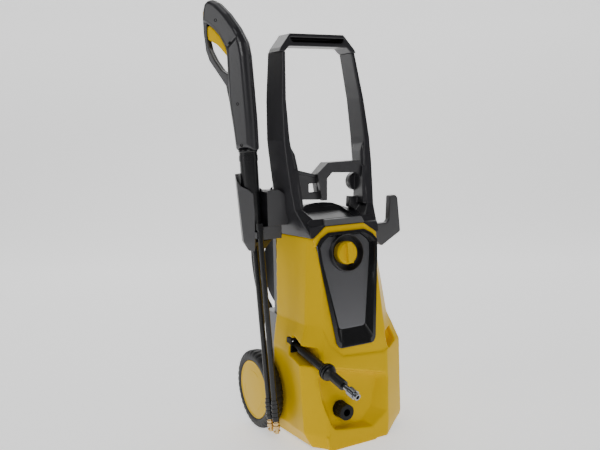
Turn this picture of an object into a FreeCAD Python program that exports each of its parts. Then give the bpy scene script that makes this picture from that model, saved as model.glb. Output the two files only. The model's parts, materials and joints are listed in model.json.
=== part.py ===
import FreeCAD, Part
import os
from math import cos, sin, pi, hypot, tan

os.makedirs("parts", exist_ok=True)

# Electric pressure washer: upright body that leans back, hose reel behind, two wheels, front foot.
# Millimetres. Z up from the floor, front faces -Y, X = 0 is the middle plane.

V = FreeCAD.Vector

# ---- driving dimensions -------------------------------------------------------------------
FRONT_Y = -113.0          # front face where it meets the floor
LEAN = 0.142              # set-back of the front face per mm of height
SKIN = 3.0                # moulded wall
CASING_BOTTOM = 2.5
CASING_TOP = 447.0
STEP_DEPTH = 2.4          # crease across the front under the panel
RECESS_DEPTH = 16.0       # hollow in the lower front

REAR_TOP = 262.0          # flat lid behind the casing, under the reel
VENT_Z, VENT_STEP, VENT_COUNT = 170.0, 13.0, 6
GLAND_X, GLAND_Z, GLAND_R = 60.0, 120.0, 7.0

WHEEL_Y, WHEEL_Z = 92.0, 89.0
TYRE_R, DISC_R = 89.0, 66.0
WHEEL_IN, WHEEL_OUT = 132.0, 167.0
AXLE_R = 8.0
RUN = 0.05                # running clearance on a radius

REEL_Y, REEL_Z = 84.0, 357.0
FLANGE_R, DRUM_R, WOUND_R = 86.0, 38.0, 62.0
FLANGE_IN, FLANGE_OUT = 87.0, 91.5
STUB_R = 10.0
CRANK = 50.0
CRANK_X, CRANK_T = 112.0, 9.0     # inner face of the crank arm and its thickness
CRANK_PIN_R = 4.0

KNOB_Z = 410.0
KNOB_R, SPINDLE_R, WELL_R = 25.0, 5.0, 41.0

MOTOR_X, MOTOR_Y = 22.0, 0.0
CAN_R, CAN_Z0, CAN_Z1 = 52.0, 137.0, 252.0
SHAFT_R, NOSE_R = 7.0, 5.0
PINION_R, GEAR_R, MESH_GAP = 10.0, 26.0, 0.3
GEAR_X = MOTOR_X - PINION_R - GEAR_R - MESH_GAP
PISTON_R, PISTON_OFF = 6.0, 14.0
PUMP_Z0, CASE_Z0 = 32.0, 92.0     # undersides of the pump head and of the gearbox

INLET_X, INLET_Z, INLET_R = -45.0, 78.0, 17.0
INLET_FACE, INLET_BORE = -113.0, 8.0
SEAT_R, SEAT_Y = 24.0, 88.0       # round seat in the casing behind the inlet

HOSE_START = V(-112, -16, 212)
HOSE_END = V(-90, -219, 158)
HOSE_R = 5.5
HOSE_REACH = 216.0        # from the hidden root of the hose end to its tip

GUN_FOOT = V(-165, 40, 0)
GUN_U = V(-0.559, 0.829, 0)       # towards the end of the grip
GUN_N = V(-0.829, -0.559, 0)      # out of the visible side
PIVOT_U, PIVOT_Z, PIVOT_R = 55.0, 818.0, 2.0
LANCE_R = 6.0
LANCE_FIT = 0.15          # clearance of a lance in its clip or socket
COLLAR_R = 1.6            # how far the collar stands out from the lance
LANCE_DRAW = 105.0        # how far the lances are cleared above their resting place

CORD_R = 3.6
HANK_Y0, HANK_Y1 = 174.0, 195.0
HANK_Z, HANK_UP, HANK_DOWN, HANK_SIDE, HANK_W = 392.0, 78.0, 222.0, 121.0, 25.0


# ---- small tools --------------------------------------------------------------------------
def box(x0, x1, y0, y1, z0, z1):
    return Part.makeBox(x1 - x0, y1 - y0, z1 - z0, V(x0, y0, z0))


def rod(base, direction, radius, length):
    return Part.makeCylinder(radius, length, V(*base), V(*direction))


def pipe(base, direction, outer, inner, length):
    return rod(base, direction, outer, length).cut(rod(base, direction, inner, length))


def face_of(points):
    return Part.Face(Part.makePolygon([V(*p) for p in points] + [V(*points[0])]))


def plate_xz(points, y0, y1):
    return face_of([(x, y0, z) for x, z in points]).extrude(V(0, y1 - y0, 0))


def plate_yz(points, x0, x1):
    return face_of([(x0, y, z) for y, z in points]).extrude(V(x1 - x0, 0, 0))


def loft(sections):
    wires = [Part.makePolygon([V(*p) for p in s] + [V(*s[0])]) for s in sections]
    body = Part.makeLoft(wires, True, True)
    if body.Volume < 0:
        body.reverse()
    return body


def mirror(shape):
    return shape.mirror(V(0, 0, 0), V(1, 0, 0))


def both(shape):
    return shape.fuse(mirror(shape))


def joined(shapes):
    result = shapes[0]
    for shape in shapes[1:]:
        result = result.fuse(shape)
    return result.removeSplitter()


def front_y(z):
    return FRONT_Y + LEAN * z


def slab(depth0, depth1):
    # space between two planes parallel to the leaning front face
    z0, z1 = -60.0, 620.0
    return plate_yz([(front_y(z0) + depth0, z0), (front_y(z1) + depth0, z1),
                     (front_y(z1) + depth1, z1), (front_y(z0) + depth1, z0)], -260, 260)


def on_face(points, depth0, depth1):
    return plate_xz(points, -260, 200).common(slab(depth0, depth1))


def lean_axis():
    length = hypot(1.0, LEAN)
    return V(0, -1.0 / length, LEAN / length)


def knob_rod(radius, depth0, depth1):
    # cylinder about the switch axis between two depths below the front face
    out = lean_axis()
    start = V(0, front_y(KNOB_Z), KNOB_Z) - out * depth1
    return Part.makeCylinder(radius, depth1 - depth0, start, out)


def symmetric(half):
    # half: (x, z) points down the right-hand side, top first
    return [(-x, z) for x, z in half] + [(x, z) for x, z in reversed(half)]


def save(name, shape):
    solids = shape.Solids
    if len(solids) > 1:
        solids = sorted(solids, key=lambda s: -s.Volume)
        print("note", name, "solids", len(solids), [round(s.Volume, 1) for s in solids[:4]])
        shape = solids[0]
    elif solids:
        shape = solids[0]
    if not shape.isValid():
        print("invalid", name)
    shape.exportStep("parts/" + name + ".step")
    b = shape.BoundBox
    print("%-18s %8.0f mm3  x %.0f..%.0f y %.0f..%.0f z %.0f..%.0f" % (
        name, shape.Volume, b.XMin, b.XMax, b.YMin, b.YMax, b.ZMin, b.ZMax))
    return shape


# ---- casing -------------------------------------------------------------------------------
def casing_section(z, front, front_left, corner, corner_y, rear, rear_y, inset):
    c, r = corner - inset, rear - inset
    yf, yc = front_y(z) + inset, corner_y + inset * 0.6
    return [(-front_left + inset * 0.75, yf, z), (front - inset * 0.75, yf, z), (c, yc, z), (r, rear_y, z),
            (-r, rear_y, z), (-c, yc, z)]


def casing_block(inset, bottom, top, extra=0.0):
    rows = [casing_section(bottom, 60, 84, 112, -78, 121, 58 + extra, inset),
            casing_section(34, 66, 86, 127, -72, 128, 58 + extra, inset),
            casing_section(200, 80, 84, 131, -62, 128.5, 60 + extra, inset),
            casing_section(238, 77, 80, 116, -55, 121, 64 + extra, inset),
            casing_section(264, 76, 77, 106, -48, 114, 68 + extra, inset),
            casing_section(412, 70, 70, 89, -30, 107, 75 + extra, inset),
            casing_section(top, 67, 67, 85, -26, 105, 76 + extra, inset)]
    return loft(rows)


def brow(grow=0.0):
    # raised lip of the casing between the shoulders
    edge = symmetric([(48 + grow, 470 + grow), (79 + grow, 448), (79 + grow, 430)])
    return on_face(edge, 0, 9 + grow)


def bezel_outline(shrink=0.0):
    s = shrink
    return symmetric([(46 - 0.5 * s, 457 - s), (66 - 0.8 * s, 446 - 0.8 * s), (77 - s, 432 - 0.4 * s),
                      (74 - s, 400), (50 - s, 222 + 0.5 * s), (44 - s, 213 + s), (38 - s, 211 + s)])


def on_front(points, depth):
    # the same outline carried to a given depth below the leaning front face
    return [(x, front_y(z) + depth, z) for x, z in points]


def recess(grow=0.0):
    # wide hollow in the lower front: sloping walls from its mouth down to a smaller floor
    g = grow
    mouth = [(-58, 171 + g), (70 + g * 0.5, 140 + g), (76 + g, 130), (66 + g, 56 - g * 0.6),
             (24, 30 - g), (-70 - g * 0.6, 44 - g), (-79 - g, 54), (-96 - g, 105), (-100 - g, 160 + g * 0.5)]
    floor = [(-54, 165 + g), (50 + g * 0.5, 136 + g), (52 + g, 126), (32 + g, 68 - g * 0.6),
             (6, 41 - g), (-66 - g * 0.6, 43 - g), (-74 - g, 53), (-88 - g, 105), (-93 - g, 156 + g * 0.5)]
    return loft([on_front(mouth, -6), on_front(mouth, -0.5), on_front(floor, RECESS_DEPTH + g)])


def waist_step(grow=0.0):
    # shallow step that runs across the front under the panel
    crease = [(-96, 257), (-79, 253), (-66, 219), (-35, 192), (69, 185), (98, 197)]
    fade = [(-96, 292), (-72, 290), (-52, 240), (-26, 214), (56, 214), (96, 228)]
    rings = []
    for (x0, z0), (x1, z1) in zip(crease, fade):
        deep, shallow = front_y(z0) + STEP_DEPTH + grow, front_y(z1) + grow
        rings.append([(x0, front_y(z0) - 4, z0 - grow), (x0, deep, z0 - grow), (x1, shallow, z1),
                      (x1, front_y(z1) - 4, z1)])
    return loft(rings)


def hose_notch(grow=0.0):
    g = grow
    back = [(-100 + g, -15 + g, 196 - g), (-150, -15 + g, 196 - g),
            (-150, -15 + g, 236 + g), (-100 + g, -15 + g, 236 + g)]
    front = [(-86 + g, -110, 172 - g), (-150, -110, 172 - g), (-150, -110, 206 + g), (-86 + g, -110, 206 + g)]
    return loft([back, front])


def corner_pocket(grow=0.0):
    # hand hollow at the right front corner
    g = grow
    front = [(79 - g, -112, 184 - g), (118 + g, -112, 196 - g), (119 + g, -112, 206 + g),
             (92, -112, 246 + g), (65 - g, -112, 232)]
    back = [(90 - g, -52 + g, 196 - g), (108 + g, -52 + g, 202 - g), (109 + g, -52 + g, 208 + g),
            (100, -52 + g, 232 + g), (88 - g, -52 + g, 224)]
    return loft([front, back])


def corner_undercut():
    # the lower edge rises towards the right front corner
    return plate_xz([(58, -20), (64, 3), (112, 22), (150, 32), (150, -20)], -200, -20)


def inlet_hole(radius):
    return rod((INLET_X, -140, INLET_Z), (0, 1, 0), radius, 110)


def inlet_seat(grow):
    return rod((INLET_X, -140, INLET_Z), (0, 1, 0), SEAT_R + grow, 140 - SEAT_Y + grow)


def front_casing():
    outer = casing_block(0, CASING_BOTTOM, CASING_TOP).fuse(brow())
    foot = on_face([(-88, 0), (31, 0), (36, 30), (-92, 30)], 0, 7)
    outer = outer.fuse(foot.common(box(-200, 200, -200, 0, 0, 30)))
    outer = outer.cut(recess()).cut(waist_step()).cut(hose_notch()).cut(corner_pocket())
    outer = outer.cut(inlet_seat(0))
    inner = casing_block(SKIN, CASING_BOTTOM - 5, CASING_TOP - SKIN, 20)
    inner = inner.cut(recess(SKIN)).cut(waist_step(SKIN)).cut(hose_notch(SKIN)).cut(corner_pocket(SKIN))
    inner = inner.cut(inlet_seat(SKIN))
    shell = outer.cut(inner)
    shell = shell.cut(on_face(bezel_outline(4), -10, 20))
    shell = shell.cut(inlet_hole(INLET_R + 0.6))
    shell = shell.cut(knob_rod(WELL_R + 0.4, -10, 30))
    shelf = box(-50, 50, -109.5, -90, 9.8, 13)
    return shell.cut(guide_space()).cut(corner_undercut()).fuse(shelf)


def guide_space():
    return box(-124.5, -100, -16, 4, 197, 229)


def rear_housing(inset):
    i = inset
    low = [(-124 + i, 58, 9.8), (124 - i, 58, 9.8), (116 - i, 132 - i, 9.8), (-116 + i, 132 - i, 9.8)]
    top = REAR_TOP - i
    high = [(-113 + i, 58, top), (113 - i, 58, top), (108 - i, 130 - i, top), (-108 + i, 130 - i, top)]
    return loft([low, high])


def rear_casing():
    open_front = box(-104, 104, 50, 100, 4, 258)
    open_floor = box(-109, 109, 60, 129, 4, 12)
    shell = rear_housing(0).cut(rear_housing(SKIN).fuse(open_front).fuse(open_floor))
    lid = box(-108, 108, 66, 130, 258.7, 261.7)
    posts = both(plate_yz([(76.2, 256), (92, 256), (90, 446.8), (76.2, 446.8)], 99.5, 106))
    bridge = box(-101, 101, 77, 90, 444.3, 447.1)
    bosses = both(rod((100, WHEEL_Y, WHEEL_Z), (1, 0, 0), 16, 16))
    crank_bearing = rod((99.5, REEL_Y, REEL_Z), (1, 0, 0), 18, 6.5)
    body = joined([shell, lid, posts, bridge, bosses, crank_bearing])
    body = body.cut(casing_block(-0.15, CASING_BOTTOM, CASING_TOP))
    for step in range(VENT_COUNT):
        z = VENT_Z + VENT_STEP * step
        body = body.cut(box(-70, 70, 120, 140, z, z + 5))
    body = body.cut(rod((-130, WHEEL_Y, WHEEL_Z), (1, 0, 0), AXLE_R + RUN, 260))
    body = body.cut(rod((90, REEL_Y, REEL_Z), (1, 0, 0), STUB_R + RUN, 30))
    return body.cut(rod((GLAND_X, 120, GLAND_Z), (0, 1, 0), GLAND_R, 30))


def reel_cradle():
    wall = box(-82, 82, -11, -8, 262, 444)
    floor = box(-92, 92, -11, 64, 262, 265)
    cheek = box(93, 95.3, 34, 112, 262, 415)
    ledge = box(88, 95.3, 34, 112, 262, 265)
    ears = both(cheek.fuse(ledge))
    body = joined([wall, floor, ears])
    return body.cut(rod((-110, REEL_Y, REEL_Z), (1, 0, 0), STUB_R + RUN, 220))


def base_pan():
    def level(z, grow):
        return [(-60 - grow, -97, z), (60 + grow, -97, z), (86 + grow, -58, z), (105, 50, z), (113, 63, z),
                (111, 131, z), (-111, 131, z), (-113, 63, z), (-105, 50, z), (-86 - grow, -58, z)]
    outer = loft([level(0, -4), level(9.8, 0)])
    hollow = loft([level(4, -14), level(12, -12)]).common(box(-96, 96, -89, 120, 0, 20))
    tray = outer.cut(hollow)
    pedestal = box(-44, 10, -22, 22, 2, PUMP_Z0)
    return joined([tray, pedestal])


# ---- front panel --------------------------------------------------------------------------
def bezel():
    ring = on_face(bezel_outline(), -3.5, 0).fuse(on_face(bezel_outline(4.3), -1, 16))
    mouth, seat = bezel_outline(6.5), plate_outline()
    ring = ring.cut(loft([on_front(mouth, -4.5), on_front(seat, 11)]))
    ring = ring.cut(on_face(plate_outline(), 10.9, 20))
    return ring.cut(knob_rod(WELL_R, -10, 30))


def plate_outline(shrink=0.0):
    s = shrink
    return symmetric([(41 - s * 0.5, 446 - s), (57 - s, 434 - s), (63 - s, 424), (61 - s, 400),
                      (34 - s, 252 + s), (31 - s, 249 + s), (27 - s, 247 + s)])


def panel_plate():
    sheet = on_face(plate_outline(0.3), 9, 12)
    return sheet.cut(knob_rod(WELL_R, -10, 30))


def switch_well():
    cup = knob_rod(WELL_R - 0.1, -1.5, 22).cut(knob_rod(WELL_R - 2.6, -5, 19.5))
    return cup.cut(knob_rod(SPINDLE_R + RUN, 10, 30))


def power_knob():
    out = lean_axis()
    base = knob_rod(KNOB_R, 2, 17)
    crown = Part.makeCone(KNOB_R, KNOB_R - 4, 5, V(0, front_y(KNOB_Z), KNOB_Z) - out * 2, out)
    grip = box(-6, 6, -60, 60, -22.5, 22.5).common(rod((0, -60, 0), (0, 1, 0), 23, 120))
    grip = grip.common(box(-6, 6, -11, 8, -30, 30))
    grip.Placement = FreeCAD.Placement(V(0, front_y(KNOB_Z), KNOB_Z),
                                       FreeCAD.Rotation(V(0, -1, 0), out))
    stem = knob_rod(SPINDLE_R, 16, 36)
    return joined([base, crown, grip, stem])


def switch_box():
    body = knob_rod(20, 22.2, 37.8)
    body = body.fuse(on_face([(-18, 384), (18, 384), (18, 396), (-18, 396)], 24, 37))
    return body.cut(knob_rod(SPINDLE_R + RUN, 10, 36.5))


# ---- top ----------------------------------------------------------------------------------
def top_tray():
    side = [(-46.5, 447.2), (-42, 470.2), (-37, 472), (-28, 484), (2, 482), (60, 499), (66, 508),
            (74, 506), (76, 447.2)]
    body = plate_yz(side, -86, 86)
    crown = plate_xz([(-86, 440), (-86, 478), (-58, 494), (-34, 505), (0, 509), (36, 505), (64, 494),
                      (86, 478), (86, 440)], -80, 120)
    body = body.common(crown)
    dish = plate_yz([(-25, 476), (-20, 474), (52, 489), (60, 500), (60, 530), (-25, 530)], -52, 52)
    body = body.cut(dish)
    under = plate_yz([(-36, 440), (-33, 464), (62, 484), (68, 484), (68, 440)], -50, 50)
    body = body.cut(under)
    body = body.cut(brow(0.15)).cut(tray_trim())
    body = body.cut(on_face(bezel_outline(-0.2), -5, 17)).cut(knob_rod(WELL_R + 0.2, -10, 24))
    return body.cut(both(shoulder()))


def tray_trim():
    strip = plate_yz([(-45.5, 471.2), (-38, 472.2), (-32, 483.5), (-39, 483.5)], -50, 50)
    return strip.common(plate_xz([(-50, 471.2), (50, 471.2), (47, 483.5), (-47, 483.5)], -60, 0))


def shoulder():
    # right-hand shoulder: the flared root of a handle leg
    low = [(56, -49, 447.2), (85, -47, 447.2), (104, 74, 447.2), (66, 74, 447.2)]
    mid = [(56, -34, 472), (93, -30, 472), (112, 70, 472), (70, 70, 472)]
    high = [(84, -6, 505), (101, -7, 505), (119, 55, 505), (90, 56, 505)]
    return loft([low, mid, high])


def leg_column(wall=0.0):
    # rows: height, inner front, outer front, outer rear, inner rear
    rows = [(505, 84, 101, 119, 90), (550, 87, 105, 121, 90), (600, 90, 108, 123, 91),
            (653, 95, 109, 124, 93), (739, 94, 104, 116, 93), (841, 84, 92, 100, 86)]
    sections = []
    for z, inf, outf, outr, inr in rows:
        middle = 14 + (z - 457) * 0.165
        yf, yr = middle - 27, middle + 27
        if z == 505:
            yf, yr = -6, 56
        back = 20 if wall else 0
        sections.append([(inf + wall, yf + wall, z), (outf - wall, yf - 1 + wall, z),
                         (outr - wall, yr - 1 + back, z), (inr + wall, yr + back, z)])
    return loft(sections)


def leg_solid():
    step = loft([[(80, 12, 590), (92, 11, 590), (92, 50, 590), (82, 50, 590)],
                 [(84, 18, 622), (96, 17, 622), (96, 56, 622), (86, 56, 622)],
                 [(93, 22, 640), (97, 21, 640), (97, 60, 640), (94, 60, 640)]])
    gusset = loft([[(76, -2, 506), (90, -2, 506), (90, 45, 506), (80, 45, 506)],
                   [(82, 8, 590), (92, 8, 590), (92, 48, 590), (84, 48, 590)]])
    return joined([shoulder().cut(brow(0.15)), leg_column(), step, gusset])


def leg():
    hollow = leg_column(SKIN).common(box(0, 200, -50, 200, 512, 830))
    core = loft([[(66, -30, 446), (86, -28, 446), (98, 60, 446), (74, 60, 446)],
                 [(86, 4, 495), (98, 4, 495), (112, 46, 495), (92, 46, 495)]])
    return leg_solid().cut(hollow).cut(core)


def right_leg():
    # the right leg also carries the round cord peg and the lug under it
    disc = rod((86, 38, 553), (0, 1, 0), 21, 16)
    arm = box(86, 97, 40, 52, 544, 562)
    lug = plate_xz([(56, 498), (58, 522), (70, 520), (92, 521), (92, 488), (76, 486)], 24, 40)
    return joined([leg(), disc, arm, lug])


def top_grip():
    shape = [(-98, 841), (-93, 850), (-68, 880), (68, 880), (93, 850), (98, 841),
             (84.5, 841), (73, 852.5), (-73, 852.5), (-84.5, 841)]
    lean_slab = plate_yz([(49.5, 830), (57, 884), (110, 884), (104.5, 830)], -120, 120)
    body = plate_xz(shape, 30, 130).common(lean_slab)
    channel = plate_yz([(40, 861), (40, 871), (92, 872.5), (88, 861)], -80, 80)
    channel = channel.common(plate_xz([(-72, 874), (72, 874), (62, 859), (-62, 859)], 30, 130))
    body = body.cut(channel)
    return body.cut(both(leg_column()))


def brace_plate():
    sheet = plate_xz([(-92, 524), (-92, 592), (-85, 590), (-31, 575.5), (-23, 571), (-21, 519)], 26, 34)
    rib = plate_xz([(-92, 588), (-85, 590), (-31, 575.5), (-31, 570), (-92, 583)], 22, 38)
    body = joined([sheet, rib]).cut(box(-47, -27, 20, 40, 537, 556))
    return body.cut(mirror(leg_solid()))


def brace_arch():
    ring = [(-21, 518), (-31, 576), (-29, 580), (-4, 601), (84, 602), (104, 588), (106, 500), (86, 492),
            (84, 560), (73, 575), (6, 578.5), (-7, 566), (-8, 518)]
    body = plate_xz(ring, 14, 22)
    deep = [(-21, 519), (-30, 576), (-4, 600.5), (84, 601.5), (103, 588), (103, 560), (86, 560),
            (84, 592), (80, 594), (0, 594), (-22, 572), (-15, 519)]
    body = body.fuse(plate_xz(deep, 20, 46))
    return joined([body]).cut(right_leg().fuse(leg_solid())).cut(brace_plate())


def side_hook():
    shape = [(104, 454), (152, 454), (158, 462), (161, 516), (177, 517), (182, 512), (190, 431),
             (136, 401), (114, 422), (104, 436)]
    body = plate_xz(shape, 11, 28)
    body = body.cut(plate_xz([(118, 430), (136, 414), (174, 436), (172, 444), (118, 446)], 16, 40))
    return body.cut(leg_solid()).cut(casing_block(-0.3, CASING_BOTTOM, CASING_TOP))


def cord_hook():
    # reaches over the reel, dips under the coiled cord and turns up behind it
    arm = plate_yz([(76.2, 449), (76.2, 462), (150, 456), (171, 444.4), (196.5, 444.4), (199, 476),
                    (205, 475), (203, 436), (166, 436), (146, 447)], -13, 13)
    root = box(-24, 24, 76.2, 82, 449, 478)
    return joined([arm, root])


# ---- holster, gun and lances --------------------------------------------------------------
def gun_point(u, n, z):
    p = GUN_FOOT + GUN_U * u + GUN_N * n
    return V(p.x, p.y, z)


def gun_plate(points, n0, n1):
    # plate in the plane of the gun: points are (distance towards the grip, height)
    ring = [gun_point(u, n0, z) for u, z in points]
    return Part.Face(Part.makePolygon(ring + [ring[0]])).extrude(GUN_N * (n1 - n0))


def gun_column(points_low, z0, points_high, z1):
    rings = []
    for points, z in ((points_low, z0), (points_high, z1)):
        ring = [gun_point(u, n, z) for u, n in points]
        rings.append(Part.makePolygon(ring + [ring[0]]))
    return Part.makeLoft(rings, True, True)


def inset_ring(points, distance):
    # moves every side of a closed outline inwards by the same distance
    area = sum(points[i - 1][0] * p[1] - p[0] * points[i - 1][1] for i, p in enumerate(points))
    sign = 1.0 if area > 0 else -1.0
    moved = []
    for i, p in enumerate(points):
        a, b = points[i - 1], points[(i + 1) % len(points)]
        d1, d2 = (p[0] - a[0], p[1] - a[1]), (b[0] - p[0], b[1] - p[1])
        l1, l2 = hypot(*d1), hypot(*d2)
        n1, n2 = (-d1[1] / l1 * sign, d1[0] / l1 * sign), (-d2[1] / l2 * sign, d2[0] / l2 * sign)
        m = (n1[0] + n2[0], n1[1] + n2[1])
        k = distance / (1 + n1[0] * n2[0] + n1[1] * n2[1])
        moved.append((p[0] + m[0] * k, p[1] + m[1] * k))
    return moved


def gun_half(points, side, rows):
    # one moulded half; rows of (distance from the joint line, inset of the outline there)
    body = gun_plate(points, 0.1 * side, rows[0][0] * side)
    for (n0, cut0), (n1, cut1) in zip(rows, rows[1:]):
        rings = []
        for n, cut in ((n0, cut0), (n1, cut1)):
            ring = [gun_point(u, n * side, z) for u, z in inset_ring(points, cut)]
            rings.append(Part.makePolygon(ring + [ring[0]]))
        body = body.fuse(Part.makeLoft(rings, True, True))
    return body


def barrel_outline():
    return [(-2, 634), (0, 697), (4, 759), (9, 831), (14, 858), (26, 880), (60, 850), (57, 732), (49, 677),
            (44, 634)]


def barrel_hollow():
    return [(7, 648), (8, 700), (12, 760), (16, 820), (36, 815), (42, 760), (44, 732), (38, 680), (35, 648)]


def grip_outline():
    return [(14, 858), (31, 889), (54, 919), (77, 941), (92, 949), (102, 948), (110, 942), (114, 930),
            (117, 905), (103, 897), (90, 887), (76, 872), (64, 851), (54, 822), (30, 822), (9, 832)]


def guard_outline():
    return [(117, 906), (116, 880), (112, 845), (104, 823), (84, 796), (65, 770), (58, 735), (46, 735),
            (50, 775), (58, 793), (74, 803), (90, 824), (102, 846), (107, 866), (107, 899)]


def gun_shell(side):
    barrel = gun_half(barrel_outline(), side, [(6, 0), (12, 1.8), (17, 5), (20, 9), (21, 12)])
    grip = gun_half(grip_outline(), side, [(6, 0), (11, 1.5), (15, 4), (17.3, 7), (18, 9)])
    guard = gun_plate(guard_outline(), 0.1 * side, 9 * side)
    body = joined([barrel, grip, guard])
    slot = [(46, 808), (66, 808), (112, 858), (112, 914), (100, 912), (86, 902), (70, 888), (56, 864),
            (42, 826)]
    body = body.cut(gun_plate(slot, 0, 6.3 * side))
    body = body.cut(gun_plate(barrel_hollow(), 0, 15 * side))
    button = [(98, 912.7), (118.5, 912.7), (118.5, 927.3), (98, 927.3)]
    body = body.cut(gun_plate(button, 0, 4.2 * side))
    pin = Part.makeCylinder(PIVOT_R, 8, gun_point(PIVOT_U, 0.1 * side, PIVOT_Z), GUN_N * side)
    return body.fuse(pin).removeSplitter()


def gun_nozzle():
    base, top = gun_point(14.5, 0, 470), gun_point(21, 0, 633.8)
    axis = top - base
    body = Part.makeCylinder(19.5, axis.Length, base, axis)
    mouth = Part.makeCylinder(9, 30, base, axis)
    ring = Part.makeCylinder(20.5, 12, base + axis * 0.86, axis)
    body = body.fuse(ring).cut(mouth)
    return body.common(box(-300, 0, -200, 300, 400, 634.0))


def gun_trigger():
    shape = [(102, 896), (90, 886), (76, 871), (65, 851), (58, 832), (50, 818), (55, 813), (62, 832),
             (77, 849), (86, 857), (106, 868), (109, 882), (106, 894)]
    body = gun_plate(shape, -6, 6)
    body = body.fuse(Part.makeCylinder(PIVOT_R + 2.6, 12, gun_point(PIVOT_U, -6, PIVOT_Z), GUN_N))
    bore = Part.makeCylinder(PIVOT_R + RUN, 14, gun_point(PIVOT_U, -7, PIVOT_Z), GUN_N)
    return body.cut(bore).removeSplitter()


def gun_lock():
    return gun_plate([(102, 913), (119, 913), (120, 916), (119.5, 927), (102, 927)], -4, 4)


def holster_cup():
    low = [(-4, 25), (24, 25), (35, 14), (35, -14), (24, -25), (-18, -25)]
    high = [(-6, 25), (38, 25), (47, 15), (47, -15), (38, -25), (-24, -25)]
    low_in = [(-30, 22.2), (23, 22.2), (32, 13.2), (32, -13.2), (23, -22.2), (-30, -22.2)]
    high_in = [(-34, 22.2), (36.5, 22.2), (44, 14), (44, -14), (36.5, -22.2), (-34, -22.2)]
    body = gun_column(low, 440, high, 584).cut(gun_column(low_in, 440, high_in, 584.5))
    tip = gun_column([(-2, 24), (12, 24), (20, 15), (20, -12), (12, -16), (-6, -16)], 421, low, 440)
    body = joined([body, tip]).cut(lance_path("one", LANCE_FIT, -60))
    body = body.cut(lance_path("two", COLLAR_R + 0.4, 0))
    slope = [(-60, 600), (-60, 560), (-34, 566), (-6, 540), (7, 551), (27, 559), (47, 586), (60, 600)]
    return body.cut(gun_plate(slope, -60, 60))


def holster_block():
    shape = [(-153, 472), (-153, 545), (-149, 549), (-126, 549), (-112, 540), (-104, 520), (-104, 472)]
    body = plate_xz(shape, 20, 50)
    return body.cut(mirror(leg_solid())).cut(holster_cup())


def lance_line(which):
    if which == "one":
        return V(-180, 32, 436), V(-178, -14, 60)
    return V(-176, 14, 481), V(-174, -33, 60)


def lance_path(which, gap, start):
    # space swept by a lance that is drawn up and out; start is measured up from its top end
    top, low = lance_line(which)
    up = (top - low).normalize()
    return Part.makeCylinder(LANCE_R + gap, LANCE_DRAW - start, top + up * start, up)


def lance_tube(which):
    top, low = lance_line(which)
    axis = low - top
    body = Part.makeCylinder(LANCE_R, axis.Length - 45, top, axis)
    if which == "two":
        body = body.fuse(Part.makeCylinder(LANCE_R + COLLAR_R, 14, top, axis))
    return body.removeSplitter()


def lance_adaptor(which):
    top, low = lance_line(which)
    unit = (low - top).normalize()
    start = low - unit * 45
    body = Part.makeCylinder(7.4, 45, start, unit)
    for step in range(4):
        body = body.fuse(Part.makeCylinder(8.7, 4.5, start + unit * (8 + 9 * step), unit))
    return body.removeSplitter()


def lance_fitting(which):
    top, low = lance_line(which)
    unit = (low - top).normalize()
    side = unit.cross(V(0, 1, 0)).normalize()
    body = Part.makeCylinder(4.8, 27, low, unit)
    body = body.fuse(Part.makeCylinder(7.2, 4, low + unit * 3, unit))
    body = body.fuse(Part.makeCylinder(7.4, 6, low + unit * 10, unit))
    body = body.fuse(Part.makeCylinder(2.6, 15, low + unit * 22 - side * 7.5, side))
    return body.cut(Part.makeCylinder(1.8, 10, low + unit * 18, unit)).removeSplitter()


def lance_clip():
    # plate under the holster block with a snap jaw round the longer lance
    top, low = lance_line("two")
    plate = box(-172, -120, 21, 27, 444, 471.8)
    at = top + (low - top) * ((top.z - 456.0) / (top.z - low.z))
    jaw = box(at.x - 9, -165, at.y, 21, 449, 463).fuse(box(-171.5, -165, 18, 22, 449, 463))
    body = joined([plate, jaw])
    return body.cut(Part.makeCylinder(LANCE_R + LANCE_FIT, 90, top, low - top)).cut(holster_cup())


# ---- water path ---------------------------------------------------------------------------
def inlet_coupling():
    body = rod((INLET_X, INLET_FACE, INLET_Z), (0, 1, 0), INLET_R, 31)
    body = body.fuse(rod((INLET_X, -83, INLET_Z), (0, 1, 0), 11, 53))
    for step in range(14):
        a = 2 * pi * step / 14
        x, z = INLET_X + (INLET_R + 1) * cos(a), INLET_Z + (INLET_R + 1) * sin(a)
        body = body.cut(rod((x, INLET_FACE + 4, z), (0, 1, 0), 2.0, 20))
    return body.cut(rod((INLET_X, INLET_FACE, INLET_Z), (0, 1, 0), INLET_BORE, 25)).removeSplitter()


def hose_guide():
    body = box(-124, -100.5, -15.5, 3.5, 197.5, 228.5).cut(box(-121, -103.5, -24, -8, 200.5, 225.5))
    hole = Part.makeCylinder(HOSE_R + 0.6, 60, HOSE_START - hose_unit() * 30, hose_unit())
    return body.cut(hole)


def hose_unit():
    axis = HOSE_END - HOSE_START
    return axis.normalize()


def hose_at(distance):
    return HOSE_END - hose_unit() * (HOSE_REACH - distance)


def hose_tube():
    return Part.makeCylinder(HOSE_R, 186, hose_at(0), hose_unit())


def hose_stop():
    # soft sleeve, a ribbed ball that stops the hose at its guide, and a collar
    unit = hose_unit()
    sleeve = Part.makeCylinder(9.6, 147, hose_at(25), unit)
    ball = Part.makeSphere(18, hose_at(120))
    body = sleeve.fuse(ball)
    for step in range(5):
        start = hose_at(105.8 + 6.5 * step)
        ring = Part.makeCylinder(30, 2.4, start, unit).cut(Part.makeCylinder(13.5, 2.4, start, unit))
        body = body.cut(ring)
    body = body.fuse(Part.makeCylinder(10.6, 34, hose_at(140), unit))
    return body.cut(hose_tube()).removeSplitter()


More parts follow.
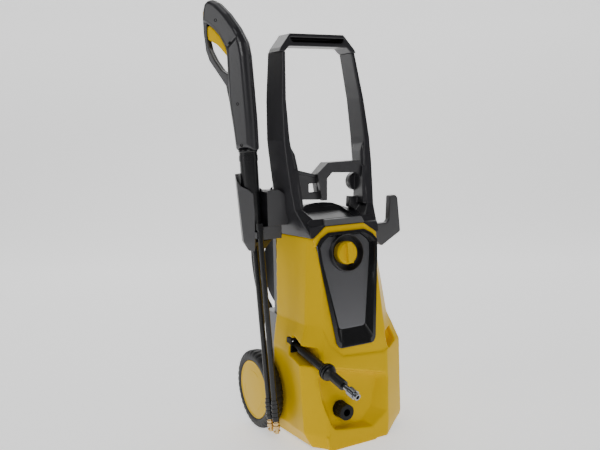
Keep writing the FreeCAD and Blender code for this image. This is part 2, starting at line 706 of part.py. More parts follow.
def quick_connector():
    unit = hose_unit()
    side = unit.cross(V(1, 0, 0)).normalize()
    other = unit.cross(side)
    nipple = Part.makeCylinder(6.0, 22, hose_at(180), unit)
    nut = Part.makeCylinder(9.5, 18, hose_at(193), unit)
    nose = Part.makeCylinder(7.0, 9, hose_at(210), unit)
    body = nipple.fuse(nut).fuse(nose)
    for step in range(6):
        a = 2 * pi * step / 6
        off = side * (10.6 * cos(a)) + other * (10.6 * sin(a))
        body = body.cut(Part.makeCylinder(2.2, 14, hose_at(195) + off, unit))
    body = body.cut(Part.makeCylinder(4.0, 12, hose_at(207), unit))
    return body.cut(hose_tube()).removeSplitter()


def pump_head():
    body = box(-58, 20, -30, 30, PUMP_Z0, CASE_Z0)
    for side in (-1, 1):
        body = body.cut(rod((GEAR_X + side * PISTON_OFF, 0, 49), (0, 0, 1), PISTON_R + RUN, 50))
    valve = rod((0, 30, 55), (0, 1, 0), 13, 18)
    return joined([body, valve])


def gearbox():
    body = box(-46, 44, -32, 32, CASE_Z0, CAN_Z0)
    body = body.cut(box(-43, 41, -29, 29, CASE_Z0 + SKIN, CAN_Z0 - SKIN))
    body = body.cut(rod((MOTOR_X, MOTOR_Y, 130), (0, 0, 1), NOSE_R + RUN, 10))
    body = body.cut(rod((GEAR_X, 0, 130), (0, 0, 1), NOSE_R + RUN, 10))
    for side in (-1, 1):
        body = body.cut(rod((GEAR_X + side * PISTON_OFF, 0, 90), (0, 0, 1), PISTON_R + RUN, 8))
    return body


def piston(side):
    return rod((GEAR_X + side * PISTON_OFF, 0, 58), (0, 0, 1), PISTON_R, 41.5)


def drive_gear():
    wheel = rod((GEAR_X, 0, 114), (0, 0, 1), GEAR_R, 12)
    stub = rod((GEAR_X, 0, 120), (0, 0, 1), NOSE_R, 16)
    cam = rod((GEAR_X, 0, 100), (0, 0, 1), 20, 15)
    wedge = plate_xz([(GEAR_X - 21, 99), (GEAR_X - 21, 99.8), (GEAR_X + 21, 108), (GEAR_X + 21, 99)], -21, 21)
    return joined([wheel, stub, cam.cut(wedge)])


def motor_can():
    can = rod((MOTOR_X, MOTOR_Y, CAN_Z0), (0, 0, 1), CAN_R, CAN_Z1 - CAN_Z0)
    can = can.cut(rod((MOTOR_X, MOTOR_Y, CAN_Z0 + 3), (0, 0, 1), CAN_R - 2.5, CAN_Z1 - CAN_Z0 - 6))
    boss = rod((MOTOR_X, MOTOR_Y, 238), (0, 0, 1), 13, 12)
    can = can.fuse(boss).cut(rod((MOTOR_X, MOTOR_Y, 130), (0, 0, 1), SHAFT_R + RUN, 116.5))
    for step in range(6):
        a = 2 * pi * step / 6
        port = rod((MOTOR_X, MOTOR_Y, 229), (cos(a), sin(a), 0), 5.0, 60)
        can = can.cut(port)
    return can.removeSplitter()


def stator():
    return pipe((MOTOR_X, MOTOR_Y, 150), (0, 0, 1), CAN_R - 2.5, 30, 62)


def rotor():
    core = rod((MOTOR_X, MOTOR_Y, 150), (0, 0, 1), 29.5, 62)
    shaft = rod((MOTOR_X, MOTOR_Y, 137.5), (0, 0, 1), SHAFT_R, 108.5)
    nose = rod((MOTOR_X, MOTOR_Y, 112), (0, 0, 1), NOSE_R, 26)
    return joined([core, shaft, nose])


def cooling_fan():
    disc = rod((MOTOR_X, MOTOR_Y, 216), (0, 0, 1), 44, 3)
    hub = rod((MOTOR_X, MOTOR_Y, 216), (0, 0, 1), 12, 16)
    body = disc.fuse(hub)
    for step in range(8):
        blade = box(11, 42, -1.2, 1.2, 219, 232)
        blade.rotate(V(0, 0, 0), V(0, 0, 1), 45 * step)
        blade.translate(V(MOTOR_X, MOTOR_Y, 0))
        body = body.fuse(blade)
    return body.removeSplitter().cut(rod((MOTOR_X, MOTOR_Y, 210), (0, 0, 1), SHAFT_R, 30))


def pinion():
    return pipe((MOTOR_X, MOTOR_Y, 114), (0, 0, 1), PINION_R, NOSE_R, 14)


# ---- wheels and reel ----------------------------------------------------------------------
def turned(profile, side):
    # profile: (distance along the axle, radius); turned about the wheel axle
    ring = [V(x * side, WHEEL_Y, WHEEL_Z + r) for x, r in profile]
    face = Part.Face(Part.makePolygon(ring + [ring[0]]))
    return face.revolve(V(0, WHEEL_Y, WHEEL_Z), V(1, 0, 0), 360)


def tyre(side):
    return turned([(134, DISC_R), (132, 70), (132, 80), (137, 87), (142, TYRE_R), (157, TYRE_R), (162, 87),
                   (167, 80), (167, 70), (165, DISC_R)], side)


def wheel_disc(side):
    profile = [(136, AXLE_R + RUN), (136, 17), (156, 17), (158, 56), (140, 58), (138, 61), (138, DISC_R),
               (165.5, DISC_R), (165.5, 63.5), (164.6, 62), (165.6, 40), (166, 0.0), (160, 0.0),
               (160, AXLE_R + RUN)]
    return turned(profile, side).cut(disc_marks(side))


def disc_marks(side):
    # three shallow curved grips pressed into the outer face of the wheel
    start = (165.0 * side, WHEEL_Y, WHEEL_Z)
    ring = pipe(start, (side, 0, 0), 47, 43, 5)
    marks = []
    for step in range(3):
        wedge = plate_yz([(0, 0), (60, -24), (60, 24)], -200, 200)
        wedge.rotate(V(0, 0, 0), V(1, 0, 0), 100 + 120 * step)
        wedge.translate(V(0, WHEEL_Y, WHEEL_Z))
        marks.append(ring.common(wedge))
    return Part.makeCompound(marks)


def wheel_axle():
    bar = rod((-159.5, WHEEL_Y, WHEEL_Z), (1, 0, 0), AXLE_R, 319)
    collar = both(rod((122.3, WHEEL_Y, WHEEL_Z), (1, 0, 0), 14, 13.4))
    return joined([bar, collar])


def reel_drum():
    drum = rod((-FLANGE_IN, REEL_Y, REEL_Z), (1, 0, 0), DRUM_R, 2 * FLANGE_IN)
    flanges = both(rod((FLANGE_IN, REEL_Y, REEL_Z), (1, 0, 0), FLANGE_R, FLANGE_OUT - FLANGE_IN))
    stub = rod((-98.5, REEL_Y, REEL_Z), (1, 0, 0), STUB_R, 210.5)
    hollow = rod((-FLANGE_IN + 4, REEL_Y, REEL_Z), (1, 0, 0), DRUM_R - 4, 2 * FLANGE_IN - 8)
    hollow = hollow.cut(rod((-98.5, REEL_Y, REEL_Z), (1, 0, 0), STUB_R, 210.5))
    return joined([drum, flanges, stub]).cut(hollow)


def wound_hose():
    return pipe((-FLANGE_IN, REEL_Y, REEL_Z), (1, 0, 0), WOUND_R, DRUM_R, 2 * FLANGE_IN)


def crank_arm():
    y, z = REEL_Y, REEL_Z - CRANK
    hub = rod((CRANK_X, REEL_Y, REEL_Z), (1, 0, 0), 15, CRANK_T)
    tip = rod((CRANK_X, y, z), (1, 0, 0), 10, CRANK_T)
    web = plate_yz([(y + 11, REEL_Z), (y + 8, z), (y - 8, z), (y - 11, REEL_Z)], CRANK_X, CRANK_X + CRANK_T)
    pin = rod((120, y, z), (1, 0, 0), CRANK_PIN_R, 30)
    head = rod((149.5, y, z), (1, 0, 0), 6.5, 2.5)
    return joined([hub, tip, web, pin, head])


def crank_knob():
    y, z = REEL_Y, REEL_Z - CRANK
    return pipe((CRANK_X + CRANK_T + 0.4, y, z), (1, 0, 0), 11, CRANK_PIN_R + RUN, 27.6)


# ---- mains cord ---------------------------------------------------------------------------
def hank_ring(shrink, count=56):
    ring = []
    for i in range(count):
        a = 2 * pi * i / count
        up = (HANK_UP if sin(a) > 0 else HANK_DOWN) - shrink
        ring.append(((HANK_SIDE - shrink) * cos(a), HANK_Z + up * sin(a)))
    return ring


def cord_hank():
    outer = plate_xz(hank_ring(0), HANK_Y0, HANK_Y1)
    inner = plate_xz(hank_ring(HANK_W), HANK_Y0 - 1, HANK_Y1 + 1)
    return outer.cut(inner)


def smooth_tube(points, radius):
    # straight runs joined by arcs tangent to both
    points = [V(*p) for p in points]
    edges, start = [], points[0]
    for a, b, c in zip(points, points[1:], points[2:]):
        back, ahead = (a - b), (c - b)
        run = 0.45 * min(back.Length, ahead.Length)
        turn = pi - back.getAngle(ahead)
        p, q = b + back.normalize() * run, b + ahead.normalize() * run
        mid_dir = (back + ahead).normalize()
        reach = hypot(run, run / tan(turn / 2)) - run / tan(turn / 2)
        edges.append(Part.makeLine(start, p))
        edges.append(Part.Arc(p, b + mid_dir * reach, q).toShape())
        start = q
    edges.append(Part.makeLine(start, points[-1]))
    wire = Part.Wire(edges)
    direction = points[1] - points[0]
    disc = Part.Wire([Part.makeCircle(radius, points[0], direction)])
    tube = wire.makePipeShell([disc], True, False)
    print("   cord run length %.1f" % wire.Length)
    return tube


def cord_run_points():
    return [(GLAND_X, 128, GLAND_Z), (GLAND_X, 172, GLAND_Z), (54, 200, 160), (54, 203, 196),
            (66, 199.2, 224)]


def power_cord():
    return smooth_tube(cord_run_points(), CORD_R)


def power_plug():
    x, y = -66.0, 211.3
    body = rod((x, y, 212), (0, 0, 1), 14, 34)
    body = body.fuse(Part.makeCone(14, 5.5, 14, V(x, y, 246), V(0, 0, 1)))
    body = body.fuse(rod((x, y, 206), (0, 0, 1), 16, 8))
    for side in (-1, 1):
        body = body.fuse(rod((x + side * 9.5, y, 187), (0, 0, 1), 2.4, 20))
    return body.removeSplitter()


def cord_gland():
    body = rod((GLAND_X, 125, GLAND_Z), (0, 1, 0), GLAND_R - RUN, 12)
    body = body.fuse(rod((GLAND_X, 132.2, GLAND_Z), (0, 1, 0), 10, 4))
    cone = Part.makeCone(8, 5.2, 15, V(GLAND_X, 136, GLAND_Z), V(0, 1, 0))
    return body.fuse(cone).cut(rod((GLAND_X, 120, GLAND_Z), (0, 1, 0), CORD_R + 0.15, 60)).removeSplitter()


# ---- write every piece --------------------------------------------------------------------
save("front_casing", front_casing())
save("rear_casing", rear_casing())
save("reel_cradle", reel_cradle())
save("base_pan", base_pan())
save("panel_bezel", bezel())
save("panel_plate", panel_plate())
save("switch_well", switch_well())
save("power_knob", power_knob())
save("switch_box", switch_box())
save("top_tray", top_tray())
save("tray_trim", tray_trim())
save("right_leg", right_leg())
save("left_leg", mirror(leg()))
save("top_grip", top_grip())
save("brace_plate", brace_plate())
save("brace_arch", brace_arch())
save("side_hook", side_hook())
save("cord_hook", cord_hook())
save("holster_cup", holster_cup())
save("holster_block", holster_block())
save("gun_left_shell", gun_shell(1))
save("gun_right_shell", gun_shell(-1))
save("gun_nozzle", gun_nozzle())
save("gun_trigger", gun_trigger())
save("gun_lock", gun_lock())
for which in ("one", "two"):
    save("lance_%s_tube" % which, lance_tube(which))
    save("lance_%s_adaptor" % which, lance_adaptor(which))
    save("lance_%s_fitting" % which, lance_fitting(which))
save("lance_clip", lance_clip())
save("inlet_coupling", inlet_coupling())
save("hose_guide", hose_guide())
save("hose_tube", hose_tube())
save("hose_stop", hose_stop())
save("quick_connector", quick_connector())
save("pump_head", pump_head())
save("gearbox", gearbox())
save("piston_left", piston(-1))
save("piston_right", piston(1))
save("drive_gear", drive_gear())
save("motor_can", motor_can())
save("stator", stator())
save("rotor", rotor())
save("cooling_fan", cooling_fan())
save("pinion", pinion())
save("left_tyre", tyre(-1))
save("right_tyre", tyre(1))
save("left_disc", wheel_disc(-1))
save("right_disc", wheel_disc(1))
save("wheel_axle", wheel_axle())
save("reel_drum", reel_drum())
save("wound_hose", wound_hose())
save("crank_arm", crank_arm())
save("crank_knob", crank_knob())
save("power_cord", power_cord())
save("cord_hank", cord_hank())
save("power_plug", power_plug())
save("cord_gland", cord_gland())
print(len(os.listdir("parts")), "pieces")
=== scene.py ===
import json
from math import cos, pi, radians, sin

import bmesh
import bpy
from mathutils import Matrix, Vector


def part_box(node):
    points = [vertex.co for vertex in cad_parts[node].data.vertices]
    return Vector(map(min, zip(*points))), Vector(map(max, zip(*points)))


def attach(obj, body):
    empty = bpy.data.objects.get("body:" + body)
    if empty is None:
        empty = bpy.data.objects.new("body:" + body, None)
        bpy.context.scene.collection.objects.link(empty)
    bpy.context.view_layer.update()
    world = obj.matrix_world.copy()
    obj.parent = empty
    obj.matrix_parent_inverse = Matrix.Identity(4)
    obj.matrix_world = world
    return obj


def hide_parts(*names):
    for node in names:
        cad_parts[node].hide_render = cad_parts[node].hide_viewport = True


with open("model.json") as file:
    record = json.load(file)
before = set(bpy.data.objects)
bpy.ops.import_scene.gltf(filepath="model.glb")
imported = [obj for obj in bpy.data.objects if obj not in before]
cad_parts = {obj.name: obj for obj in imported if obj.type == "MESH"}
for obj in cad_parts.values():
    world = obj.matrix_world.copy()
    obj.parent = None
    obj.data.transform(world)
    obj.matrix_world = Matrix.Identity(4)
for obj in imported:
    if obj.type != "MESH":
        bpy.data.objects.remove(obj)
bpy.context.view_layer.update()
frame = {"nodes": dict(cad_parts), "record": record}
nodes = frame["nodes"]
MM = 0.001


# ---- materials ----------------------------------------------------------------------------
def add_grain(tree, shader, where, strength, scale):
    """Fine moulded or cast surface."""
    noise = tree.nodes.new("ShaderNodeTexNoise")
    noise.inputs["Scale"].default_value = scale
    noise.inputs["Detail"].default_value = 3.0
    bump = tree.nodes.new("ShaderNodeBump")
    bump.inputs["Strength"].default_value = strength
    bump.inputs["Distance"].default_value = 0.4 * MM
    tree.links.new(where.outputs["Object"], noise.inputs["Vector"])
    tree.links.new(noise.outputs["Fac"], bump.inputs["Height"])
    tree.links.new(bump.outputs["Normal"], shader.inputs["Normal"])


def add_mottle(tree, shader, where, roughness, spread):
    """Gloss that varies a little over the surface, as handling leaves it."""
    cloud = tree.nodes.new("ShaderNodeTexNoise")
    cloud.inputs["Scale"].default_value = 9.0
    cloud.inputs["Detail"].default_value = 4.0
    span = tree.nodes.new("ShaderNodeMapRange")
    span.inputs["To Min"].default_value = roughness - spread
    span.inputs["To Max"].default_value = roughness + spread
    tree.links.new(where.outputs["Object"], cloud.inputs["Vector"])
    tree.links.new(cloud.outputs["Fac"], span.inputs["Value"])
    tree.links.new(span.outputs["Result"], shader.inputs["Roughness"])


def material(name, colour, roughness, metallic=0.0, grain=0.0, grain_scale=400.0, coat=0.0, mottle=0.05,
             shine=0.5, tint=(1.0, 1.0, 1.0)):
    mat = bpy.data.materials.new(name)
    mat.use_nodes = True
    tree = mat.node_tree
    shader = tree.nodes["Principled BSDF"]
    shader.inputs["Base Color"].default_value = (*colour, 1.0)
    shader.inputs["Roughness"].default_value = roughness
    shader.inputs["Metallic"].default_value = metallic
    shader.inputs["Coat Weight"].default_value = coat
    shader.inputs["Coat Roughness"].default_value = 0.15
    shader.inputs["Specular IOR Level"].default_value = shine
    shader.inputs["Specular Tint"].default_value = (*tint, 1.0)
    where = tree.nodes.new("ShaderNodeTexCoord")
    if grain > 0:
        add_grain(tree, shader, where, grain, grain_scale)
    if mottle > 0:
        add_mottle(tree, shader, where, roughness, mottle)
    return mat


YELLOW = material("yellow_plastic", (0.80, 0.505, 0.0), 0.30, grain=0.08, grain_scale=900,
                  shine=0.25, tint=(1.0, 0.62, 0.0))
BLACK = material("black_plastic", (0.020, 0.0195, 0.023), 0.30, grain=0.25, grain_scale=1100, shine=0.8)
DULL_BLACK = material("dull_black", (0.008, 0.008, 0.009), 0.55, grain=0.2, grain_scale=900, shine=0.25)
SMOOTH_BLACK = material("smooth_black", (0.009, 0.009, 0.010), 0.24, grain=0.08, grain_scale=700, mottle=0.04)
GLOSS = material("gloss_black", (0.012, 0.012, 0.013), 0.16, coat=0.4, mottle=0.03)
GREY = material("panel_grey", (0.17, 0.17, 0.18), 0.26, metallic=0.6, grain=0.05, grain_scale=1500,
                mottle=0.04)
SILVER = material("trim_silver", (0.24, 0.24, 0.25), 0.32, metallic=0.6, mottle=0.04)
RUBBER = material("rubber", (0.009, 0.009, 0.010), 0.40, grain=0.15, grain_scale=600)
TYRE = material("tyre", (0.010, 0.010, 0.011), 0.55, grain=0.3, grain_scale=500, mottle=0.06)
BRASS = material("brass", (0.66, 0.47, 0.22), 0.26, metallic=1.0, grain=0.05, grain_scale=900, mottle=0.06)
CHROME = material("plated_metal", (0.30, 0.31, 0.33), 0.2, metallic=1.0)
ALLOY = material("alloy", (0.45, 0.45, 0.47), 0.45, metallic=1.0, grain=0.3, grain_scale=350, mottle=0.06)
STEEL = material("steel", (0.4, 0.4, 0.42), 0.3, metallic=1.0, grain=0.1, grain_scale=800, mottle=0.06)
# near-black: painted shade inside the gun's screw holes
SCREW_HOLE_SHADE = material("painted_hole_shade", (0.002, 0.002, 0.002), 0.8)

BY_SLOT = {
    "yellow_plastic": YELLOW, "black_plastic": BLACK, "gloss_black": GLOSS, "panel_grey": GREY,
    "trim_silver": SILVER, "lance_black": SMOOTH_BLACK, "brass": BRASS, "hose_rubber": RUBBER,
    "plated_metal": CHROME, "pump_metal": ALLOY, "steel": STEEL, "tyre_rubber": TYRE, "cord_rubber": RUBBER,
}
DULL = ("reel_drum", "reel_cradle", "hose_guide", "inlet_coupling", "cord_hook")


# ---- CAD pieces: edges rounded, material by slot --------------------------------------------
# large mouldings: size of the remesh cell in mm and number of smoothing passes
SOFT = {
    "front_casing": (1.5, 14), "gun_left_shell": (0.9, 16), "gun_right_shell": (0.9, 16),
    "left_leg": (0.9, 14), "right_leg": (0.9, 14), "top_grip": (1.0, 12),
}
# all other pieces: radius of the rounded edges in mm
ROUNDING = {
    "rear_casing": 2.5, "brace_plate": 1.5, "brace_arch": 2.0, "top_tray": 2.5, "side_hook": 2.5,
    "holster_cup": 1.0, "holster_block": 2.5, "gun_trigger": 2.0, "panel_bezel": 2.0, "power_knob": 2.0,
    "cord_hook": 2.0, "power_plug": 2.0, "base_pan": 2.0, "crank_arm": 2.0, "crank_knob": 3.0,
    "left_disc": 1.5, "right_disc": 1.5, "reel_drum": 1.5, "quick_connector": 0.6, "tray_trim": 1.0,
    "gun_nozzle": 1.2, "hose_stop": 1.0,
}
SMALL_ROUNDING = 0.8
WELD_GAP = 0.02 * MM


def weld_seams(obj):
    weld = obj.modifiers.new("weld", "WELD")
    weld.merge_threshold = WELD_GAP


def round_edges(obj, width, angle=28):
    weld_seams(obj)
    bevel = obj.modifiers.new("bevel", "BEVEL")
    bevel.limit_method = "ANGLE"
    bevel.angle_limit = radians(angle)
    bevel.width = width * MM
    bevel.segments = 3
    bevel.use_clamp_overlap = True
    bevel.miter_outer = "MITER_ARC"
    normals = obj.modifiers.new("normals", "WEIGHTED_NORMAL")
    normals.weight = 60
    normals.keep_sharp = False


def soften(obj, cell, passes):
    """Moulded look: every edge of the CAD shape is blended over a few millimetres."""
    weld_seams(obj)
    remesh = obj.modifiers.new("remesh", "REMESH")
    remesh.mode = "VOXEL"
    remesh.voxel_size = cell * MM
    remesh.adaptivity = 0.0
    remesh.use_smooth_shade = True
    smooth = obj.modifiers.new("smooth", "SMOOTH")
    smooth.factor = 0.5
    smooth.iterations = passes


def dress_nodes():
    slot_of = {s["node"]: s["material_slot"] for s in frame["record"]["subparts"]}
    for name, obj in nodes.items():
        obj.data.materials.clear()
        obj.data.materials.append(DULL_BLACK if name in DULL else BY_SLOT[slot_of[name]])
        if name in SOFT:
            soften(obj, *SOFT[name])
        else:
            round_edges(obj, ROUNDING.get(name, SMALL_ROUNDING))


dress_nodes()


# ---- small mesh tools -----------------------------------------------------------------------
def mesh_object(name, verts, faces, mat, body):
    data = bpy.data.meshes.new(name)
    data.from_pydata([tuple(v) for v in verts], [], faces)
    data.validate()
    tool = bmesh.new()
    tool.from_mesh(data)
    bmesh.ops.recalc_face_normals(tool, faces=tool.faces)
    tool.to_mesh(data)
    tool.free()
    for poly in data.polygons:
        poly.use_smooth = True
    obj = bpy.data.objects.new(name, data)
    bpy.context.scene.collection.objects.link(obj)
    data.materials.append(mat)
    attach(obj, body)
    return obj


def turned(name, profile, centre, axis, mat, body, steps=96, wave=None):
    """Lathe: profile is [(distance along axis, radius)], closed into a ring of quads."""
    axis = Vector(axis).normalized()
    side = axis.orthogonal().normalized()
    other = axis.cross(side)
    verts, faces = [], []
    for i in range(steps):
        turn = 2 * pi * i / steps
        for j, (along, radius) in enumerate(profile):
            r = radius + (wave(i, j) if wave else 0.0)
            verts.append(Vector(centre) + axis * along + (side * cos(turn) + other * sin(turn)) * r)
    count = len(profile)
    for i in range(steps):
        for j in range(count):
            k = (j + 1) % count
            a, b = i * count, ((i + 1) % steps) * count
            faces.append((a + j, a + k, b + k, b + j))
    return mesh_object(name, verts, faces, mat, body)


# ---- tyres with a grooved tread -------------------------------------------------------------
TYRE_SEAT = 66.2 * MM         # just outside the wheel disc
TREAD_BLOCKS = 36
TREAD_STEPS = 6               # lathe steps in a block and its groove
TREAD_DEPTH = 2.2 * MM


def tyre_profile(half, outer):
    """Closed section, the same on both sides of the crown: bead, wall, shoulder, tread."""
    left = [(0.86 * half, TYRE_SEAT), (half, TYRE_SEAT + 4 * MM), (half, outer - 11 * MM),
            (0.9 * half, outer - 5 * MM), (0.7 * half, outer - 1.6 * MM), (0.4 * half, outer)]
    right = [(along, radius) for along, radius in reversed(left)]
    return [(-along, radius) for along, radius in left] + [(0.0, outer)] + right


def tyre(side):
    node = side + "_tyre"
    low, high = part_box(node)
    profile = tyre_profile((high.x - low.x) / 2, (high.z - low.z) / 2)
    crown = len(profile) // 2

    def groove(step, ring):
        """Grooves cross the tread and shoulders on both sides of the crown line."""
        in_groove = step % TREAD_STEPS < 2
        return -TREAD_DEPTH if in_groove and 0 < abs(ring - crown) <= 3 else 0.0

    obj = turned(node + "_tread", profile, (low + high) / 2, (1, 0, 0), TYRE, side + "_wheel",
                 steps=TREAD_BLOCKS * TREAD_STEPS, wave=groove)
    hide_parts(node)


for side in ("left", "right"):
    tyre(side)


# ---- hose wound on the reel -----------------------------------------------------------------
DRUM_R = 38.5 * MM
HOSE_TURNS = 15


def wound_hose():
    low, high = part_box("wound_hose")
    half = (high.x - low.x) / 2 - 0.4 * MM
    outer = (high.z - low.z) / 2
    pitch = 2 * half / HOSE_TURNS
    arc_steps = 6
    profile = [(-half, DRUM_R)]
    for turn in range(HOSE_TURNS):
        for step in range(arc_steps + 1):
            a = pi * step / arc_steps
            profile.append((-half + pitch * (turn + 0.5 - 0.5 * cos(a)), outer - pitch * 0.5 * (1 - sin(a))))
    profile.append((half, DRUM_R))
    obj = turned("wound_hose_turns", profile, (low + high) / 2, (1, 0, 0), RUBBER, "reel")
    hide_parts("wound_hose")


wound_hose()


# ---- free hose end --------------------------------------------------------------------------
HOSE_R = 0.0055
HOSE_TIP = Vector((-0.090, -0.219, 0.158))
HOSE_WAY = Vector((0.022, -0.203, -0.054)).normalized()
HOSE_REACH = 0.216            # from the hidden root of the hose end to its tip
HOSE_END = 186                # mm of hose, up to the nipple of the quick connector


def curve_object(name, points, radius, mat, body):
    data = bpy.data.curves.new(name, "CURVE")
    data.dimensions = "3D"
    data.bevel_depth = radius
    data.bevel_resolution = 4
    data.resolution_u = 6
    data.use_fill_caps = True
    spline = data.splines.new("NURBS")
    spline.points.add(len(points) - 1)
    for place, point in zip(spline.points, points):
        place.co = (*point, 1.0)
    spline.order_u = 3
    spline.use_endpoint_u = True
    obj = bpy.data.objects.new(name, data)
    bpy.context.scene.collection.objects.link(obj)
    data.materials.append(mat)
    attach(obj, body)
    return obj


def hose_end():
    points = [HOSE_TIP + HOSE_WAY * (d * MM - HOSE_REACH) for d in (0, 45, 90, 140, HOSE_END)]
    obj = curve_object("hose_end", points, HOSE_R, RUBBER, "machine")
    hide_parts("hose_tube")


hose_end()


# ---- mains cord: short run from the gland, then the hank on its hook --------------------------
CORD_R = 0.0036
HANK_Z, HANK_UP, HANK_DOWN, HANK_SIDE = 392, 78, 222, 121     # mm, as the CAD hank
HANK_TURNS = 5
POINTS_PER_TURN = 24
NEAR, FAR = 190, 179          # mm, the two layers of the hank behind each other
LANES = ((4.5, NEAR), (12.5, NEAR), (20.5, NEAR), (20.5, FAR), (12.5, FAR), (4.5, FAR), (4.5, FAR))
FROM_GLAND = ((60, 128, 120), (60, 172, 120), (54, 200, 160), (54, 203, 196), (62, 198, 222))
TO_PLUG = ((-96, 196, 290), (-80, 208, 286), (-67, 212, 276), (-66, 211.3, 258))


def hank_point(turn, inset, depth):
    tall = (HANK_UP if sin(turn) > 0 else HANK_DOWN) - inset
    return Vector(((HANK_SIDE - inset) * cos(turn), depth, HANK_Z + tall * sin(turn))) * MM


def hank_points():
    """Each turn lies in a lane of its own, a cord's thickness inside or behind the last."""
    start = radians(-50)
    total = radians(250 + 360 * HANK_TURNS)
    count = int(total / (2 * pi) * POINTS_PER_TURN)
    points = []
    for i in range(count + 1):
        run = i / POINTS_PER_TURN
        lane = min(int(run), len(LANES) - 2)
        part = run - lane
        (inset0, depth0), (inset1, depth1) = LANES[lane], LANES[lane + 1]
        inset = inset0 + (inset1 - inset0) * part
        depth = depth0 + (depth1 - depth0) * part
        points.append(hank_point(start + total * i / count, inset, depth))
    return points


def mains_cord():
    points = [Vector(p) * MM for p in FROM_GLAND] + hank_points() + [Vector(p) * MM for p in TO_PLUG]
    obj = curve_object("mains_cord", points, CORD_R, RUBBER, "machine")
    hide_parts("power_cord", "cord_hank")


mains_cord()


# ---- collar and screws of the gun ---------------------------------------------------------------
GUN_FOOT = Vector((-165, 40, 0)) * MM
GUN_ALONG = Vector((-0.559, 0.829, 0.0))                    # towards the end of the grip
GUN_OUT = Vector((-0.829, -0.559, 0.0))                   # out of the visible side
GUN_TUBE_TOP = (21, 633.8)                              # mm along GUN_ALONG, mm up
GUN_TUBE_WAY = (GUN_ALONG * 6.5 + Vector((0, 0, 163.8))).normalized()


def gun_point(along, out, height):
    return GUN_FOOT + (GUN_ALONG * along + GUN_OUT * out + Vector((0, 0, height))) * MM


def gun_collar():
    """Ring that closes the joint between the gun's shells and its front tube."""
    along, height = GUN_TUBE_TOP
    base = gun_point(along, 0, height) - GUN_TUBE_WAY * (4 * MM)
    ring = [(0.0, 19.0), (0.0, 20.3), (1.0, 20.8), (5.5, 20.8), (6.5, 19.6), (6.5, 19.0)]
    ring = [(way * MM, radius * MM) for way, radius in ring]
    turned("gun_collar", ring, base, GUN_TUBE_WAY, SMOOTH_BLACK, "gun", steps=64)


def gun_screws():
    """Recessed screw heads, coloured near-black as painted shade in their holes; each place is along the
    grip, up, and out of the joint plane, in mm.
    """
    places = ((79, 905, 18), (44, 856, 21), (30, 731, 21), (24, 645, 21))
    ring = [(0.0, 3.4), (0.6, 3.4), (0.6, 2.2), (-0.4, 1.8), (-0.4, 0.0), (-1.0, 0.0), (-1.0, 3.4)]
    ring = [(way * MM, radius * MM) for way, radius in ring]
    for number, (along, height, out) in enumerate(places):
        place = gun_point(along, out, height)
        turned("gun_screw_%d" % number, ring, place, GUN_OUT, SCREW_HOLE_SHADE, "gun", steps=24)


gun_collar()
gun_screws()


# ---- floor, light, camera -------------------------------------------------------------------
CAMERA_PLACE = Vector((-0.8609, -1.3827, 0.7051))
CAMERA_TURN, CAMERA_DIP, CAMERA_ROLL = -29.263, 8.385, -1.279      # degrees
CAMERA_LENS = 44.71
FLOOR_TURN = -29.3             # degrees, so the sheet sweeps up square behind the machine


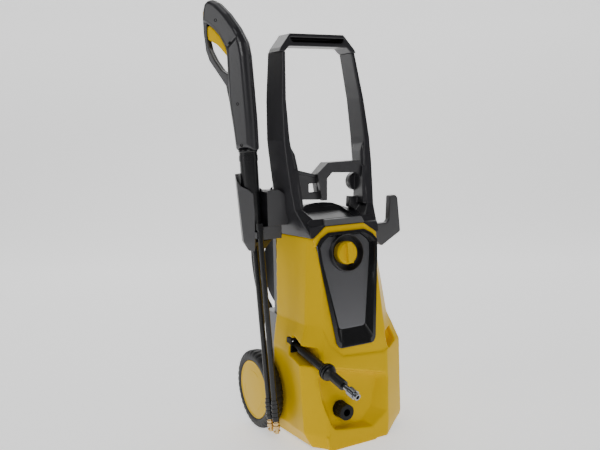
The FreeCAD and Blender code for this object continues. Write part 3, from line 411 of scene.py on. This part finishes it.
def floor():
    """Pale sheet that lies under the machine and sweeps up behind it."""
    reach, height, back, bend = 6.0, 4.0, 3.0, 1.2
    bend_steps = 8
    under = 0.5 * MM
    profile = [(-reach, 0.0), (back - bend, 0.0)]
    for step in range(1, bend_steps + 1):
        a = pi / 2 * step / bend_steps
        profile.append((back - bend + bend * sin(a), bend * (1 - cos(a))))
    profile.append((back, height))
    verts, faces = [], []
    for y, z in profile:
        verts += [(-reach, y, z - under), (reach, y, z - under)]
    for i in range(len(profile) - 1):
        faces.append((2 * i, 2 * i + 1, 2 * i + 3, 2 * i + 2))
    data = bpy.data.meshes.new("floor")
    data.from_pydata(verts, [], faces)
    for poly in data.polygons:
        poly.use_smooth = True
    obj = bpy.data.objects.new("floor", data)
    bpy.context.scene.collection.objects.link(obj)
    white = material("floor_white", (0.92, 0.92, 0.92), 0.7, mottle=0.0)
    shader = white.node_tree.nodes["Principled BSDF"]
    shader.inputs["Emission Color"].default_value = (1, 1, 1, 1)
    shader.inputs["Emission Strength"].default_value = 0.8
    data.materials.append(white)
    obj.rotation_euler = (0, 0, radians(FLOOR_TURN))


def area_light(name, place, target, size, power):
    data = bpy.data.lights.new(name, "AREA")
    data.shape = "RECTANGLE"
    data.size, data.size_y = size
    data.energy = power
    obj = bpy.data.objects.new(name, data)
    bpy.context.scene.collection.objects.link(obj)
    obj.location = place
    obj.rotation_euler = (Vector(target) - Vector(place)).to_track_quat("-Z", "Y").to_euler()


def lights():
    area_light("key", (-1.2, -2.6, 2.1), (0, 0, 0.42), (0.9, 1.1), 21)
    area_light("left", (-2.8, 0.2, 1.3), (0, 0, 0.45), (0.7, 1.8), 10)
    area_light("right", (2.2, -1.4, 1.3), (0, 0, 0.45), (0.8, 1.8), 3)
    area_light("top", (0.0, 0.2, 2.8), (0, 0, 0.3), (1.6, 1.6), 10)
    area_light("back", (0.6, 2.4, 1.8), (0, 0, 0.5), (1.8, 1.2), 8)
    world = bpy.data.worlds.new("studio")
    world.use_nodes = True
    world.node_tree.nodes["Background"].inputs["Color"].default_value = (1, 1, 1, 1)
    world.node_tree.nodes["Background"].inputs["Strength"].default_value = 0.08
    bpy.context.scene.world = world


def camera():
    turn, dip, roll = radians(CAMERA_TURN), radians(CAMERA_DIP), radians(CAMERA_ROLL)
    back = Vector((sin(turn) * cos(dip), -cos(turn) * cos(dip), sin(dip)))
    right = Vector((cos(turn), sin(turn), 0))
    up = back.cross(right)
    side = right * cos(roll) + up * sin(roll)
    top = up * cos(roll) - right * sin(roll)
    data = bpy.data.cameras.new("camera")
    data.sensor_width = 36.0
    data.lens = CAMERA_LENS
    data.clip_end = 50
    obj = bpy.data.objects.new("camera", data)
    bpy.context.scene.collection.objects.link(obj)
    pose = Matrix((side, top, back)).transposed().to_4x4()
    pose.translation = CAMERA_PLACE
    obj.matrix_world = pose
    bpy.context.scene.camera = obj


floor()
lights()
camera()
